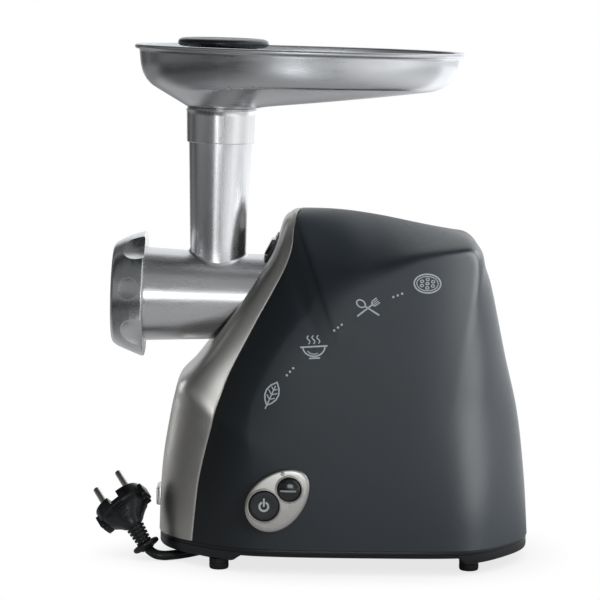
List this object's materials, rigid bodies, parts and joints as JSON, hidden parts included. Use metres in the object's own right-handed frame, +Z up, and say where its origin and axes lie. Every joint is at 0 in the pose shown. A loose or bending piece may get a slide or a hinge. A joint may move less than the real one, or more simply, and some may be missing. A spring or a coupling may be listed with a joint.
{
  "type": "electric meat grinder",
  "caption": "Electric meat grinder: removable die-cast head with auger, knife, hole plate and ring nut, tray and pusher on top, geared motor in a two-tone housing, mains lead with plug.",
  "frame": {"origin": "below the middle of the machine, on the surface the feet stand on", "axes": "+Z up, -X towards the ring nut, -Y towards the side with the buttons"},
  "size_m": [0.2967, 0.25, 0.3505],
  "materials": {
    "shell": "satin charcoal, slightly blue-green",
    "bezel": "warm titanium silver paint",
    "insert": "matte black",
    "base": "matte black",
    "foot": "matte",
    "screw": "zinc plated",
    "plate": "satin nickel",
    "power": "matte charcoal with a white symbol",
    "reverse": "gloss black with a light bar",
    "lamp": "clear white lens",
    "switch": "moulded",
    "head": "turned and polished casting",
    "auger": "cast",
    "hard_steel": "ground",
    "washer": "natural",
    "tray": "satin pressed sheet",
    "pusher": "satin black",
    "gear": "natural nylon",
    "bronze": "sintered",
    "gearbox": "glass filled",
    "iron": "laminated",
    "winding": "enamelled wire",
    "copper": "copper",
    "fan": "moulded",
    "bearing": "ground",
    "carbon": "graphite",
    "cord": "black flexible PVC",
    "pins": "nickel plated"
  },
  "bodies": {
    "root": {"shell_left": "shell", "shell_right": "shell", "front_bezel": "bezel", "socket_collar": "insert", "base_plate": "base", "feet": "foot", "foot_screws": "screw", "cord_clip": "bezel", "button_plate": "plate", "indicator_lamp": "lamp", "power_switch": "switch", "reverse_switch": "switch", "output_bushing": "bronze", "intermediate_bushings": "bronze", "gearbox_housing": "gearbox", "gearbox_cover": "gearbox", "gearbox_screws": "screw", "motor_stator": "iron", "field_coils": "winding", "motor_bearings": "bearing", "motor_bracket": "iron", "carbon_brushes": "carbon", "brush_holders": "bronze", "motor_cradle": "switch", "cord_gland": "cord", "cord_clamp": "switch", "cord_lead": "cord", "cord_coil": "cord", "cord_tie": "cord", "cord_run": "cord", "plug_body": "cord", "plug_pins": "pins"},
    "lock": {"lock_button": "insert"},
    "power": {"power_button": "power"},
    "reverse": {"reverse_button": "reverse"},
    "head": {"head_casting": "head", "hole_plate": "hard_steel"},
    "ring": {"ring_nut": "head"},
    "auger": {"auger": "auger", "auger_shank": "hard_steel", "auger_washer": "washer", "knife": "hard_steel"},
    "tray": {"tray": "tray"},
    "pusher": {"pusher_body": "pusher", "pusher_cap": "pusher"},
    "output": {"output_gear": "gear", "drive_coupling": "hard_steel"},
    "intermediate": {"intermediate_gear": "gear", "intermediate_shaft": "hard_steel"},
    "rotor": {"rotor": "iron", "commutator": "copper", "cooling_fan": "fan"}
  },
  "joints": [
    {"name": "lock_press", "type": "slide", "parent": "root", "child": "lock", "axis": [0.9997, 0, -0.0227], "range_m": [0, 0.0035], "stiffness_N_per_m": 700, "springref_m": -0.002},
    {"name": "power_press", "type": "slide", "parent": "root", "child": "power", "axis": [0.0627, 0.9974, -0.0349], "range_m": [0, 0.003], "stiffness_N_per_m": 600, "springref_m": -0.002},
    {"name": "reverse_press", "type": "slide", "parent": "root", "child": "reverse", "axis": [0.0627, 0.9974, -0.0349], "range_m": [0, 0.003], "stiffness_N_per_m": 600, "springref_m": -0.002},
    {"name": "head_release", "type": "slide", "parent": "root", "child": "head", "axis": [-0.9997, 0, 0.0227], "range_m": [0, 0.09]},
    {"name": "ring_turn", "type": "hinge", "parent": "head", "child": "ring", "pos_m": [-0.07, 0, 0.176], "axis": [-0.9997, 0, 0.0227], "range_deg": [0, 540]},
    {"name": "auger_spin", "type": "hinge", "parent": "head", "child": "auger", "pos_m": [-0.07, 0, 0.176], "axis": [-0.9997, 0, 0.0227], "continuous": true},
    {"name": "tray_lift", "type": "slide", "parent": "head", "child": "tray", "axis": [0.0227, 0, 0.9997], "range_m": [0, 0.06]},
    {"name": "pusher_lift", "type": "slide", "parent": "tray", "child": "pusher", "axis": [0.0227, 0, 0.9997], "range_m": [0, 0.15]},
    {"name": "output_spin", "type": "hinge", "parent": "root", "child": "output", "pos_m": [0.00798, 0, 0.17423], "axis": [-0.9997, 0, 0.0227], "continuous": true},
    {"name": "intermediate_spin", "type": "hinge", "parent": "root", "child": "intermediate", "pos_m": [0.00696, 0, 0.12924], "axis": [-0.9997, 0, 0.0227], "continuous": true},
    {"name": "rotor_spin", "type": "hinge", "parent": "root", "child": "rotor", "pos_m": [0.00614, 0, 0.09325], "axis": [-0.9997, 0, 0.0227], "continuous": true}
  ],
  "couplings": [
    {"joint": "intermediate_spin", "follows": "output_spin", "ratio": -5},
    {"joint": "rotor_spin", "follows": "output_spin", "ratio": 25},
    {"joint": "auger_spin", "follows": "output_spin", "ratio": 1}
  ]
}
